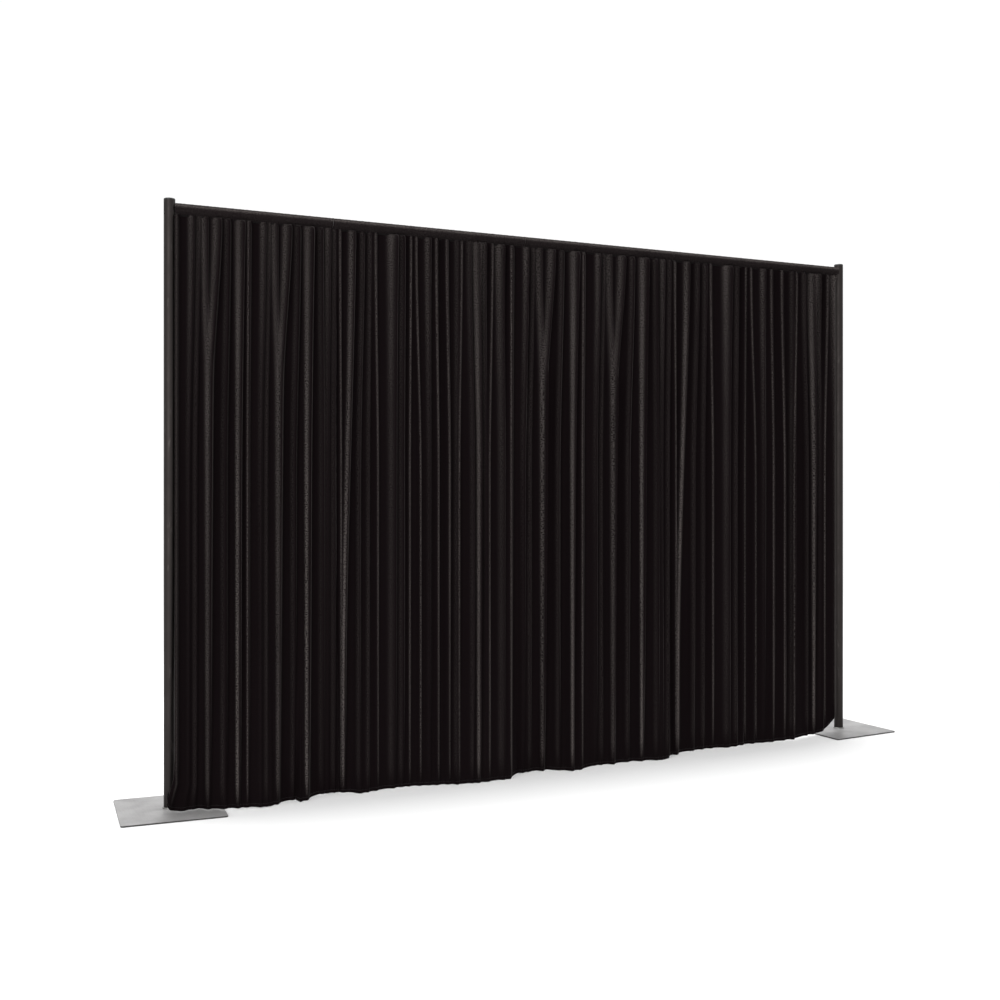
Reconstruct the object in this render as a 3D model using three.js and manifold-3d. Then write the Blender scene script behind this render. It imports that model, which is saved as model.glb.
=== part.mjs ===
// A pipe and drape backdrop: two slip-fit uprights on steel base plates, a telescopic crossbar
// that hooks into their slots, and velour panels hung on it by their rod pockets.
// Millimetres, +X along the crossbar, +Z up, with the front of the cloth towards -Y.

import * as THREE from 'three';
import { mergeVertices } from 'three/addons/utils/BufferGeometryUtils.js';
import Module from 'manifold-3d';

const wasm = await Module();
wasm.setup();

// Driving sizes
const longestSpan = 3048; // between the uprights' axes with the crossbar pulled right out
const shortestSpan = 1829; // the same with the crossbar pushed in
const seatGap = 0.3; // left between pieces that seat on each other
const cutOverrun = 5; // how far a cutter runs past what it cuts

// Counts
const roundSides = 40;
const smallRoundSides = 24;
const cornerSteps = 4;

// Base plate
const plateSide = 355.6;
const plateThickness = 6;
const plateCornerRadius = 8;
const plateEdgeBevel = 0.8;
const leftPlateTurn = THREE.MathUtils.degToRad(-5);
const rightPlateTurn = THREE.MathUtils.degToRad(2.5);

// Upright
const uprightDiameter = 40;
const uprightWall = 1.6;
const uprightLength = 2134;
const uprightFootChamfer = 0.6;
const slotTopMargin = 8; // from the slot's upper end to the tube's
const slotCornerRadius = 1.5;

// Base pin and its bolt
const pinHeight = 150;
const pinWall = 3;
const pinFloor = 22;
const pinTopChamfer = 4;
const pinFlangeReach = 4; // past the upright's outside
const pinFlangeThickness = 4;
const pinFlangeChamfer = 1;
const boltDiameter = 12;
const boltHeadDiameter = 22;
const boltHeadDepth = 4.4;
const boltEngagement = 16;
const boltSocketDiameter = 8;
const boltSocketDepth = 2.4;
const boltRecess = 0.4; // of the head, above the floor

// Top cap
const capRise = 6;
const capPlugDepth = 5;
const capWall = 2;
const capEdgeRadius = 3;

// Crossbar
const barDiameter = 32;
const barWall = 1.5;
const bushingSpace = 1.8; // between the inner tube and the outer tube's bore
const tubeOverlap = 370; // with the crossbar pulled right out
const closedRoom = 28; // left between hook and mouth with the crossbar pushed in
const mouthSleeveLength = 30;
const mouthCollarLength = 4;
const sliderLength = 40;
const sliderInset = 5;

// Hooks and their cross pins
const hookFaceThickness = 5;
const hookPlugLength = 40;
const hookPlugWall = 4;
const hookPlugFloor = 8;
const hookPlugChamfer = 1.5;
const hookThickness = 9;
const hookSideRoom = 0.5; // on each side of the hook in its slot
const hookBevel = 1;
const hookHeight = 24;
const hookTabDrop = 10; // of the tab below the bar
const hookShoulderRadius = 6;
const lipDrop = 17;
const lipThickness = 5;
const lipLead = 2; // taken off the lip's tip so that it finds its slot
const liftRoom = 3; // over the hook while it is lifted out
const crossPinDiameter = 6;

// Cloth
const clothThickness = 2.4;
const panelCutWidth = 1219;
const panelGap = 4;
const seamDrop = 22; // from the bar's axis to the pocket's seam
const seamHeight = 6;
const pocketSteps = 16;
const panelLap = 24; // that each of two neighbouring hems reaches past its pocket's end
const panelStep = 3; // that a panel's right side stands forward of its middle, and its left side back
const foldWanderShare = 0.18; // how far the folds wander, as a share of one fold
const foldWanderTurn = 1.7; // radians of that wander from one fold to the next
const foldSwellShare = 0.2; // how much their depths differ, as a share of the depth
const foldSwellTurn = 2.4; // radians of that swell from one fold to the next
const foldDriftTurn = 2; // radians that the wander shifts from the seam to the hem
const foldRowShares = [0, 0.009, 0.035, 0.5, 1];
const foldSizeShares = [0, 0.5, 0.95, 1, 1];
const cornerLiftWidth = 110; // of the hem beside the right upright
const cornerLift = 75;
const leftCornerWidth = 30;
const leftCornerLift = 22;
const hemRoom = 26; // of the highest hem above the floor
const hemLean = 75; // of the hem that stands furthest forward
const panels = [
  {
    startShare: 0, endShare: 0.19,
    firstFold: 0.5, folds: 7.25, steps: 8,
    hemShare: 0.54, leanShares: [0.2, 0.93],
  },
  {
    startShare: 0.19, endShare: 0.46,
    firstFold: 0.75, folds: 10, steps: 7,
    hemShare: 0.69, leanShares: [0.16, 1],
  },
  {
    startShare: 0.46, endShare: 0.7,
    firstFold: 0.75, folds: 9, steps: 8,
    hemShare: 0.85, leanShares: [0.24, 0.73],
  },
  {
    startShare: 0.7, endShare: 1,
    firstFold: 0.75, folds: 11, steps: 7,
    hemShare: 1, leanShares: [0.13, 0.2],
  },
];

// Radii and places that follow from the sizes
const uprightRadius = uprightDiameter / 2;
const uprightBore = uprightRadius - uprightWall;
const barRadius = barDiameter / 2;
const barBore = barRadius - barWall;
const innerRadius = barBore - bushingSpace;
const innerBore = innerRadius - barWall;
const slotWidth = hookThickness + 2 * hookSideRoom;
const slotHeight = hookHeight + lipDrop + liftRoom;
const hookDrop = barRadius + hookTabDrop;
const flangeBottom = plateThickness + seatGap;
const flangeTop = flangeBottom + pinFlangeThickness;
const uprightBottom = flangeTop + seatGap;
const uprightTop = uprightBottom + uprightLength;
const slotTop = uprightTop - slotTopMargin;
const slotBottom = slotTop - slotHeight;
const barHeight = slotBottom + hookDrop;
const hookFaceStart = uprightRadius + seatGap;
const hookReach = hookFaceStart + hookFaceThickness; // from an upright's axis to the hook's plug
const barStart = hookReach + seatGap;
const halfSpan = longestSpan / 2;
const outerTubeLength = shortestSpan - 2 * barStart - closedRoom;
const outerTubeEnd = outerTubeLength + barStart - halfSpan;
const mouthEnd = outerTubeEnd + seatGap + mouthCollarLength;
const innerTubeStart = outerTubeEnd - tubeOverlap;
const innerTubeEnd = halfSpan - barStart;
const crossPinPlace = hookReach + hookPlugLength / 2;

// Finishes
const darkTube = { color: 0x2b2826, roughness: 0.3, metalness: 0.8 };
const plateSteel = { color: 0xb9b9b7, roughness: 0.22, metalness: 1 };
const pinSteel = { color: 0x9a9a98, roughness: 0.3, metalness: 1 };
const boltSteel = { color: 0x8a8a88, roughness: 0.4, metalness: 1 };
const blackPlastic = { color: 0x0b0b0b, roughness: 0.5, metalness: 0 };
const barAluminium = { color: 0x9b9c9e, roughness: 0.35, metalness: 1 };
const castZinc = { color: 0x8f9092, roughness: 0.5, metalness: 1 };
const velour = { color: 0x0d0a0a, roughness: 0.95, metalness: 0 };

// Makes one named piece with a material of its own.
function piece(name, geometry, finish) {
  const mesh = new THREE.Mesh(geometry, new THREE.MeshStandardMaterial(finish));
  mesh.name = name;
  return mesh;
}

// Turns a closed geometry into a solid that can be cut and joined.
function solidOf(geometry) {
  const bare = geometry.clone();
  bare.deleteAttribute('normal');
  bare.deleteAttribute('uv');
  const merged = mergeVertices(bare);
  return new wasm.Manifold(new wasm.Mesh({
    numProp: 3,
    vertProperties: new Float32Array(merged.attributes.position.array),
    triVerts: new Uint32Array(merged.index.array),
  }));
}

// Turns a solid back into a geometry.
function geometryOf(solid) {
  const mesh = solid.getMesh();
  const geometry = new THREE.BufferGeometry();
  geometry.setAttribute('position', new THREE.BufferAttribute(mesh.vertProperties, mesh.numProp));
  geometry.setIndex(new THREE.BufferAttribute(mesh.triVerts, 1));
  geometry.computeVertexNormals();
  return geometry;
}

// Cuts solids out of a geometry.
function cut(geometry, ...cutters) {
  let solid = solidOf(geometry);
  for (const cutter of cutters) solid = solid.subtract(solidOf(cutter));
  return geometryOf(solid);
}

// Joins geometries that overlap into one.
function join(first, ...others) {
  let solid = solidOf(first);
  for (const other of others) solid = solid.add(solidOf(other));
  return geometryOf(solid);
}

// Revolves a profile of [radius, height] points round Z. A ring's profile closes on itself.
function revolve(points, sides = roundSides) {
  const profile = points.map(([radius, height]) => new THREE.Vector2(radius, height));
  return new THREE.LatheGeometry(profile, sides).rotateX(Math.PI / 2);
}

// The same round X, with each point as [radius, place along X].
function revolveAlongBar(points, sides = roundSides) {
  return revolve(points, sides).rotateY(Math.PI / 2);
}

// The profile of a plain tube between two ends.
function tubeProfile(bore, radius, start, end) {
  return [[bore, start], [radius, start], [radius, end], [bore, end], [bore, start]];
}

// A rectangle with round corners, centred on the origin.
function roundedRectangle(width, height, radius) {
  const x = width / 2;
  const y = height / 2;
  const shape = new THREE.Shape();
  shape.moveTo(radius - x, -y);
  shape.lineTo(x - radius, -y);
  shape.absarc(x - radius, radius - y, radius, -Math.PI / 2, 0, false);
  shape.lineTo(x, y - radius);
  shape.absarc(x - radius, y - radius, radius, 0, Math.PI / 2, false);
  shape.lineTo(radius - x, y);
  shape.absarc(radius - x, y - radius, radius, Math.PI / 2, Math.PI, false);
  shape.lineTo(-x, radius - y);
  shape.absarc(radius - x, radius - y, radius, Math.PI, 1.5 * Math.PI, false);
  return shape;
}

// The square plate, bevelled along its edges and countersunk from below for the pin's bolt.
function basePlate() {
  const side = plateSide - 2 * plateEdgeBevel;
  const plate = new THREE.ExtrudeGeometry(roundedRectangle(side, side, plateCornerRadius), {
    depth: plateThickness - 2 * plateEdgeBevel,
    bevelThickness: plateEdgeBevel,
    bevelSize: plateEdgeBevel,
    bevelSegments: 1,
    curveSegments: cornerSteps,
  }).translate(0, 0, plateEdgeBevel);
  const hole = boltDiameter / 2 + seatGap;
  const sink = boltHeadDiameter / 2 + seatGap;
  const countersink = revolve([
    [0, -cutOverrun],
    [sink, -cutOverrun],
    [sink, boltRecess],
    [hole, boltHeadDepth + seatGap],
    [hole, plateThickness + cutOverrun],
    [0, plateThickness + cutOverrun],
  ], smallRoundSides);
  return cut(plate, countersink);
}

// The flanged spigot, hollow above its floor, with the bolt's hole through the floor.
function basePin() {
  const radius = uprightBore - seatGap;
  const flange = uprightRadius + pinFlangeReach;
  const hole = boltDiameter / 2 + seatGap;
  return revolve([
    [hole, flangeBottom],
    [flange, flangeBottom],
    [flange, flangeTop - pinFlangeChamfer],
    [flange - pinFlangeChamfer, flangeTop],
    [radius, flangeTop],
    [radius, flangeTop + pinHeight - pinTopChamfer],
    [radius - pinWall + pinWall / 4, flangeTop + pinHeight],
    [radius - pinWall, flangeTop + pinHeight],
    [radius - pinWall, flangeBottom + pinFloor],
    [hole, flangeBottom + pinFloor],
    [hole, flangeBottom],
  ]);
}

// The countersunk bolt that holds the pin from under the plate.
function pinBolt() {
  const shank = boltDiameter / 2;
  const socket = boltSocketDiameter / 2;
  const tip = flangeBottom + boltEngagement;
  return revolve([
    [0, boltRecess + boltSocketDepth],
    [socket, boltRecess + boltSocketDepth],
    [socket, boltRecess],
    [boltHeadDiameter / 2, boltRecess],
    [shank, boltHeadDepth],
    [shank, tip - shank / 4],
    [shank - shank / 4, tip],
    [0, tip],
  ], smallRoundSides);
}

// The upright's tube, with a slot on the crossbar's side and one opposite for the next crossbar.
function uprightTube() {
  const tube = revolve([
    [uprightBore + uprightFootChamfer, uprightBottom],
    [uprightRadius, uprightBottom],
    [uprightRadius, uprightTop],
    [uprightBore, uprightTop],
    [uprightBore, uprightBottom + uprightFootChamfer],
    [uprightBore + uprightFootChamfer, uprightBottom],
  ]);
  const length = uprightDiameter + 2 * cutOverrun;
  const slots = new THREE.ExtrudeGeometry(roundedRectangle(slotWidth, slotHeight, slotCornerRadius), {
    depth: length,
    bevelEnabled: false,
    curveSegments: cornerSteps,
  })
    .translate(0, 0, -length / 2)
    .rotateX(Math.PI / 2)
    .rotateZ(Math.PI / 2)
    .translate(0, 0, slotBottom + slotHeight / 2);
  return cut(tube, slots);
}

// The cap, a low dome over a hollow plug.
function topCap() {
  const plug = uprightBore - seatGap;
  const seat = uprightTop + seatGap;
  const top = seat + capRise;
  const dome = [];
  for (let i = 0; i <= cornerSteps; i += 1) {
    const angle = i / cornerSteps * Math.PI / 2;
    dome.push([
      uprightRadius - capEdgeRadius + capEdgeRadius * Math.cos(angle),
      top - capEdgeRadius + capEdgeRadius * Math.sin(angle),
    ]);
  }
  return revolve([
    [0, top - capWall],
    [plug - capWall, top - capWall],
    [plug - capWall, seat - capPlugDepth],
    [plug, seat - capPlugDepth],
    [plug, seat],
    [uprightRadius, seat],
    ...dome,
    [0, top],
  ]);
}

// The hole for a cross pin, along Y through the bar.
function crossPinHole(place) {
  const radius = crossPinDiameter / 2 + seatGap;
  return new THREE.CylinderGeometry(radius, radius, barDiameter + 2 * cutOverrun, smallRoundSides)
    .translate(place, 0, 0);
}

// The cross pin, filed flush with a tube of this radius.
function crossPin(tubeRadius) {
  const radius = crossPinDiameter / 2;
  const half = Math.sqrt(tubeRadius ** 2 - radius ** 2) - seatGap;
  return new THREE.CylinderGeometry(radius, radius, 2 * half, smallRoundSides)
    .translate(crossPinPlace, 0, 0);
}

// A hook casting for a tube with this bore, at the upright's axis with the bar towards +X:
// a face and a cored plug, and the tab with its turned-down lip.
function hook(bore) {
  const plug = bore - seatGap;
  const plugEnd = hookReach + hookPlugLength;
  const body = revolveAlongBar([
    [0, hookFaceStart],
    [barRadius, hookFaceStart],
    [barRadius, hookReach],
    [plug, hookReach],
    [plug, plugEnd - hookPlugChamfer],
    [plug - hookPlugChamfer, plugEnd],
    [plug - hookPlugWall, plugEnd],
    [plug - hookPlugWall, hookReach + hookPlugFloor],
    [0, hookReach + hookPlugFloor],
  ]);
  const under = seatGap - hookDrop;
  const top = under + hookHeight - hookBevel;
  const tip = -hookDrop - lipDrop + hookBevel;
  const halfWidth = hookThickness / 2;
  const lipOut = Math.sqrt(uprightBore ** 2 - halfWidth ** 2) - seatGap - hookBevel;
  const lipIn = lipOut - lipThickness + 2 * hookBevel;
  const tabEnd = hookReach - hookBevel;
  const outline = new THREE.Shape();
  outline.moveTo(tabEnd, top);
  outline.lineTo(lipIn + hookShoulderRadius, top);
  outline.absarc(lipIn + hookShoulderRadius, top - hookShoulderRadius, hookShoulderRadius,
    Math.PI / 2, Math.PI, false);
  outline.lineTo(lipIn, tip);
  outline.lineTo(lipOut - lipLead / 2, tip);
  outline.lineTo(lipOut, tip + 2 * lipLead);
  outline.lineTo(lipOut, under + hookBevel);
  outline.lineTo(tabEnd, under + hookBevel);
  outline.closePath();
  const tab = new THREE.ExtrudeGeometry(outline, {
    depth: hookThickness - 2 * hookBevel,
    bevelThickness: hookBevel,
    bevelSize: hookBevel,
    bevelSegments: 1,
    curveSegments: cornerSteps,
  })
    .translate(0, 0, hookBevel - halfWidth)
    .rotateX(Math.PI / 2);
  return cut(join(body, tab), crossPinHole(crossPinPlace));
}

// A tube of the crossbar, drilled for its hook's cross pin.
function barTube(bore, radius, start, end, pinPlace) {
  return cut(revolveAlongBar(tubeProfile(bore, radius, start, end)), crossPinHole(pinPlace));
}

// The collar in the outer tube's mouth.
function mouthBushing() {
  const bore = innerRadius + seatGap;
  const sleeve = barBore - seatGap;
  const collar = outerTubeEnd + seatGap;
  return revolveAlongBar([
    [bore, collar - mouthSleeveLength],
    [sleeve, collar - mouthSleeveLength],
    [sleeve, collar],
    [barRadius, collar],
    [barRadius, mouthEnd],
    [bore, mouthEnd],
    [bore, collar - mouthSleeveLength],
  ]);
}

// The ring that carries the inner tube's hidden end.
function sliderBushing() {
  const start = innerTubeStart + sliderInset;
  return revolveAlongBar(
    tubeProfile(innerRadius + seatGap, barBore - seatGap, start, start + sliderLength),
  );
}

// How deep folds of this pitch are when cloth of this fullness is gathered into them.
function foldDepth(pitch, fullness) {
  const samples = 64;
  const lengthAt = (depth) => {
    let length = 0;
    for (let i = 0; i < samples; i += 1) {
      const angle = (i + 0.5) / samples * 2 * Math.PI;
      length += Math.hypot(1, 2 * Math.PI * depth / pitch * Math.sin(angle)) / samples;
    }
    return length;
  };
  let low = 0;
  let high = pitch;
  for (let i = 0; i < samples; i += 1) {
    const middle = (low + high) / 2;
    if (lengthAt(middle) < fullness) low = middle;
    else high = middle;
  }
  return low;
}

// Builds a closed sheet from rows of middle points, each with its sideways normal.
function sheet(rows, thickness) {
  const columns = rows[0].length;
  const positions = [];
  for (const side of [-0.5, 0.5]) {
    for (const row of rows) {
      for (const { point, normal } of row) {
        positions.push(...point.clone().addScaledVector(normal, side * thickness).toArray());
      }
    }
  }
  const at = (side, row, column) => (side * rows.length + row) * columns + column;
  const index = [];
  const face = (a, b, c, d) => index.push(a, b, c, a, c, d);
  const last = { row: rows.length - 1, column: columns - 1 };
  for (let row = 0; row < last.row; row += 1) {
    for (let column = 0; column < last.column; column += 1) {
      face(at(0, row, column), at(0, row + 1, column), at(0, row + 1, column + 1), at(0, row, column + 1));
      face(at(1, row, column), at(1, row, column + 1), at(1, row + 1, column + 1), at(1, row + 1, column));
    }
    face(at(0, row, 0), at(1, row, 0), at(1, row + 1, 0), at(0, row + 1, 0));
    face(at(0, row, last.column), at(0, row + 1, last.column), at(1, row + 1, last.column),
      at(1, row, last.column));
  }
  for (let column = 0; column < last.column; column += 1) {
    face(at(0, 0, column), at(0, 0, column + 1), at(1, 0, column + 1), at(1, 0, column));
    face(at(0, last.row, column), at(1, last.row, column), at(1, last.row, column + 1),
      at(0, last.row, column + 1));
  }
  const geometry = new THREE.BufferGeometry();
  geometry.setAttribute('position', new THREE.Float32BufferAttribute(positions, 3));
  geometry.setIndex(index);
  return geometry;
}

// The rod pocket: cloth round the bar, closed by a seam below it, as a length along +X.
function rodPocket(length) {
  const inside = barRadius + seatGap;
  const outside = inside + clothThickness;
  const leave = Math.acos(inside / seamDrop);
  const start = leave - Math.PI / 2;
  const end = 1.5 * Math.PI - leave;
  const shape = new THREE.Shape();
  shape.moveTo(clothThickness, -seamDrop - seamHeight);
  shape.lineTo(clothThickness, -seamDrop);
  shape.absarc(0, 0, outside, start, end, false);
  shape.lineTo(-clothThickness, -seamDrop);
  shape.lineTo(-clothThickness, -seamDrop - seamHeight);
  shape.closePath();
  const loop = new THREE.Path();
  loop.absarc(0, 0, inside, start, end, false);
  loop.lineTo(0, -seamDrop);
  loop.closePath();
  shape.holes.push(loop);
  return new THREE.ExtrudeGeometry(shape, {
    depth: length,
    bevelEnabled: false,
    curveSegments: pocketSteps,
  })
    .rotateX(Math.PI / 2)
    .rotateZ(Math.PI / 2);
}

// How much of a hem's corner is left this far from its edge, from 1 at the edge to 0 past the corner.
function cornerShare(distance, cornerWidth) {
  return Math.max(0, cornerWidth - distance) / cornerWidth;
}

// One panel: a pocket on the tube that it hangs on, and folds that form under its seam,
// wander a little on the way down and lean forward at the hem.
function drapePanel(panel, number) {
  const clothStart = barStart - halfSpan + panelGap;
  const clothWidth = 2 * Math.abs(clothStart);
  const left = clothStart + panel.startShare * clothWidth + panelGap / 2;
  const right = clothStart + panel.endShare * clothWidth - panelGap / 2;
  const width = right - left;
  const tubeRadius = left > mouthEnd ? innerRadius : barRadius;
  const depth = foldDepth(width / panel.folds, panelCutWidth / width);
  const startLap = panel.startShare === 0 ? 0 : panelLap;
  const endLap = panel.endShare === 1 ? 0 : panelLap;
  const sag = tubeRadius - barRadius;
  const top = barHeight + sag - seamDrop - seamHeight / 2;
  const columns = panel.folds * panel.steps;
  const hemAt = (along) => {
    const atRight = panel.endShare === 1 ? cornerShare((1 - along) * width, cornerLiftWidth) : 0;
    const atLeft = panel.startShare === 0 ? cornerShare(along * width, leftCornerWidth) : 0;
    return hemRoom * panel.hemShare + cornerLift * atRight ** 2 + leftCornerLift * atLeft ** 2;
  };
  const rows = foldRowShares.map((rowShare, row) => {
    const points = [];
    const start = left - startLap * rowShare;
    const end = right + endLap * rowShare;
    for (let column = 0; column <= columns; column += 1) {
      const fold = column / panel.steps;
      const along = column / columns;
      const settle = Math.sin(Math.PI * along);
      const drift = number + foldDriftTurn * rowShare;
      const wander = foldWanderShare * settle * Math.sin(foldWanderTurn * fold + drift);
      const swell = 1 + foldSwellShare * settle * Math.sin(foldSwellTurn * fold + 2 * number);
      const lean = hemLean * THREE.MathUtils.lerp(...panel.leanShares, along) * rowShare ** 2;
      const step = panelStep * (1 - 2 * along);
      const turn = 2 * Math.PI * (panel.firstFold + fold);
      points.push(new THREE.Vector3(
        THREE.MathUtils.lerp(start, end, (fold + wander) / panel.folds),
        foldSizeShares[row] * (depth * swell * Math.cos(turn) + step) - lean,
        THREE.MathUtils.lerp(top, hemAt(along), rowShare),
      ));
    }
    return points.map((point, column) => {
      const before = points[Math.max(0, column - 1)];
      const after = points[Math.min(columns, column + 1)];
      const normal = new THREE.Vector3(before.y - after.y, after.x - before.x, 0).normalize();
      return { point, normal };
    });
  });
  const pocket = rodPocket(width).translate(left, 0, barHeight + sag);
  return join(pocket, sheet(rows, clothThickness));
}

// A base plate with its pin and bolt, turned on the pin.
function base(side, turn) {
  const group = new THREE.Group();
  group.add(piece(`${side}_base_plate`, basePlate(), plateSteel));
  group.add(piece(`${side}_base_pin`, basePin(), pinSteel));
  group.add(piece(`${side}_pin_bolt`, pinBolt(), boltSteel));
  group.rotation.z = turn;
  return group;
}

// An upright with its cap.
function upright(side) {
  const group = new THREE.Group();
  group.add(piece(`${side}_upright_tube`, uprightTube(), darkTube));
  group.add(piece(`${side}_top_cap`, topCap(), blackPlastic));
  return group;
}

// A hook with its cross pin, at the upright's axis and the bar's height.
function hookEnd(side, bore, tubeRadius) {
  const group = new THREE.Group();
  group.add(piece(`${side}_hook`, hook(bore), castZinc));
  group.add(piece(`${side}_hook_pin`, crossPin(tubeRadius), boltSteel));
  group.position.z = barHeight;
  return group;
}

// How far a plate that is turned on its pin reaches along X.
function plateReach(turn) {
  const corner = plateSide / 2 - plateCornerRadius - plateEdgeBevel;
  return corner * (Math.cos(turn) + Math.abs(Math.sin(turn))) + plateCornerRadius + plateEdgeBevel;
}

const backdrop = new THREE.Group();
backdrop.name = 'pipe_and_drape_backdrop';

const leftEnd = new THREE.Group();
leftEnd.add(base('left', leftPlateTurn), upright('left'), hookEnd('left', barBore, barRadius));
leftEnd.position.x = -halfSpan;

const rightEnd = new THREE.Group();
rightEnd.add(base('right', rightPlateTurn), upright('right'));
const rightHook = hookEnd('right', innerBore, innerRadius);
rightHook.rotation.z = Math.PI;
rightEnd.add(rightHook);
rightEnd.position.x = halfSpan;

const crossbar = new THREE.Group();
crossbar.add(piece('crossbar_outer_tube',
  barTube(barBore, barRadius, barStart - halfSpan, outerTubeEnd, crossPinPlace - halfSpan), barAluminium));
crossbar.add(piece('crossbar_inner_tube',
  barTube(innerBore, innerRadius, innerTubeStart, innerTubeEnd, halfSpan - crossPinPlace), barAluminium));
crossbar.add(piece('crossbar_mouth_bushing', mouthBushing(), blackPlastic));
crossbar.add(piece('crossbar_slider_bushing', sliderBushing(), blackPlastic));
crossbar.position.z = barHeight;

backdrop.add(leftEnd, rightEnd, crossbar);
panels.forEach((panel, i) => {
  backdrop.add(piece(`drape_panel_${i + 1}`, drapePanel(panel, i + 1), velour));
});
backdrop.position.x = (plateReach(leftPlateTurn) - plateReach(rightPlateTurn)) / 2;

export default backdrop;
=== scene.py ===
"""Looks for a pipe and drape backdrop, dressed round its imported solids.

Metres, +X along the crossbar towards its inner tube, -Y towards the front of the cloth, +Z up.
"""

import logging
import math
from dataclasses import dataclass
from enum import Enum

import bpy
import numpy as np
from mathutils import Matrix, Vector


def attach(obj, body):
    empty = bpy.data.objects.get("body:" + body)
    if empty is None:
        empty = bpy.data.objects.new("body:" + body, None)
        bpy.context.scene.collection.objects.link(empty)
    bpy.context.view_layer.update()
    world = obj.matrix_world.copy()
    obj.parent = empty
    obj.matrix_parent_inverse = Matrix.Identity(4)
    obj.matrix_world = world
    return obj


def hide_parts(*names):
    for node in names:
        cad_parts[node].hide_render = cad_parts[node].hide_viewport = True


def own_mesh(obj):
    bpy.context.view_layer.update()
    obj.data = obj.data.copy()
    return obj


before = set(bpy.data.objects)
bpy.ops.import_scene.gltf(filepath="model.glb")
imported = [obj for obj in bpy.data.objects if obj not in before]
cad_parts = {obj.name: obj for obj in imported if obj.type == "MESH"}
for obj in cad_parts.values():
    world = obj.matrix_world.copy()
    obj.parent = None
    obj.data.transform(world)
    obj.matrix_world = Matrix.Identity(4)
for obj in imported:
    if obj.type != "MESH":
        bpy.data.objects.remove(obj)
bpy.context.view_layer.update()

LOG = logging.getLogger("backdrop")

Pair = tuple[float, float]
Triple = tuple[float, float, float]
Colour = Triple
Row = tuple[np.ndarray, np.ndarray]

# Nearly all of a noise pattern lies between these two values.
NOISE_RANGE: Pair = (0.3, 0.7)

# Where the panels start and end, as shares of the cloth's width on the bar.
PANEL_SHARES = (0, 0.19, 0.46, 0.7, 1)


@dataclass(frozen=True)
class Grain:
    """A noise pattern.

    Attributes:
        scale: its grains per metre, about.
        stretch: a scale of its own along each axis.
        detail: how many finer levels it has.
    """

    scale: float
    stretch: Triple = (1, 1, 1)
    detail: float = 2


@dataclass(frozen=True)
class Bump:
    """Relief in a finish.

    Attributes:
        strength: its share of the full effect.
        depth: its depth.
    """

    strength: float
    depth: float


@dataclass(frozen=True)
class FoldShape:
    """How a fold changes between the seam and the hem.

    Attributes:
        height: its height at both ends, as a share of the height that its space allows.
        painted_sheen: how strong its painted highlight band is at both ends.
        width: the half width of that painted band at both ends, in pixels.
        fade: the share of the drop over which these three change.
        settle: the share of the drop after which it stands in its column at the hem.
    """

    height: Pair
    # Painted highlight: strength of the band painted along the fold at both ends.
    painted_sheen: Pair
    width: Pair
    fade: float = 0.2
    settle: float = 0.45


class Fold(Enum):
    """The kinds of fold, most named for how their painted highlight band looks."""

    BRIGHT = FoldShape((1.05, 0.95), (0.5, 0.85), (3.1, 1.05), 0.3)
    DRIFTING = FoldShape((0.9, 0.8), (0.44, 0.75), (2.4, 0.95), 0.4, 0.85)
    PAIR = FoldShape((0.9, 0.6), (0.4, 0.22), (3.0, 0.8), 0.5, 0.3)
    WIDE = FoldShape((1.1, 0.7), (0.52, 0.12), (3.4, 2.6))
    FADING = FoldShape((0.8, 0.45), (0.45, 0.01), (2.2, 1.8))
    DIM = FoldShape((0.75, 0.65), (0.17, 0.095), (1.9, 1.8))
    THIN = FoldShape((0.75, 0.65), (0.36, 0.39), (0.95, 0.65))


class Side(Enum):
    """The two ends of the backdrop."""

    LEFT = "left"
    RIGHT = "right"


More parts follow.
